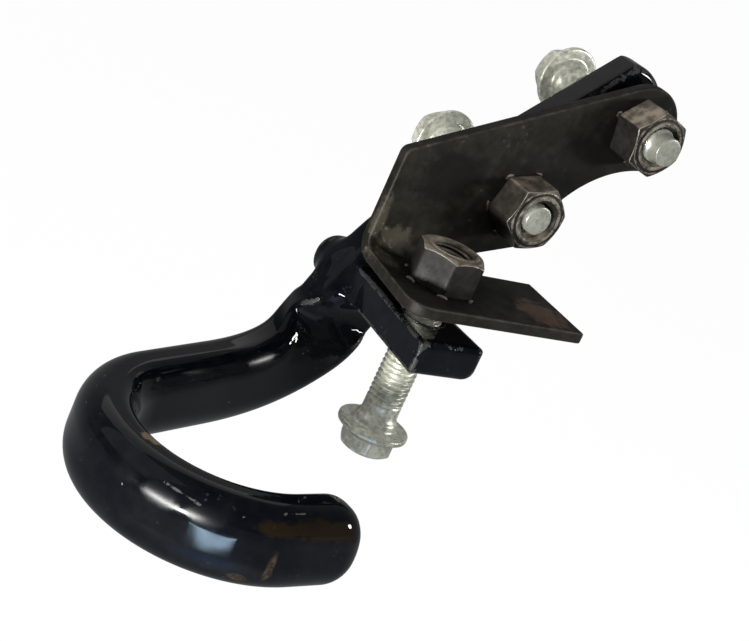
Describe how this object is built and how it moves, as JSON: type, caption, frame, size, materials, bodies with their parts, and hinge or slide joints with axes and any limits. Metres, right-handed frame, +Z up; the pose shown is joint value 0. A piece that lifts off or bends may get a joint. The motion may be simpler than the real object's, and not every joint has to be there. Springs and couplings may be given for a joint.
{
  "type": "tow hook bracket",
  "caption": "Forged J tow hook with a flat shank and cross lug, clamped to a frame rail by a folded weld-nut plate and flange bolts.",
  "frame": {"origin": "on the middle bolt's axis, where it meets the rail side of the nut plate's upright leg", "axes": "+X back along the frame rail, away from the J, +Y outboard from the plate to the bolt heads of the row, +Z up"},
  "size_m": [0.1938, 0.1368, 0.1509],
  "materials": {
    "hook_paint": "glossy black paint, chipped and scratched",
    "plate_steel": "dull dark brown-grey phosphate coat, scuffed",
    "nut_steel": "dull dark coat, worn grey on the edges and top faces",
    "bolt_zinc": "satin zinc plate with a slight green cast"
  },
  "bodies": {
    "root": {"hook": "hook_paint", "nut_plate": "plate_steel", "rear_weld_nut": "nut_steel", "middle_weld_nut": "nut_steel", "lower_weld_nut": "nut_steel", "rear_flange_bolt": "bolt_zinc", "middle_flange_bolt": "bolt_zinc", "lower_flange_bolt": "bolt_zinc"}
  },
  "joints": []
}
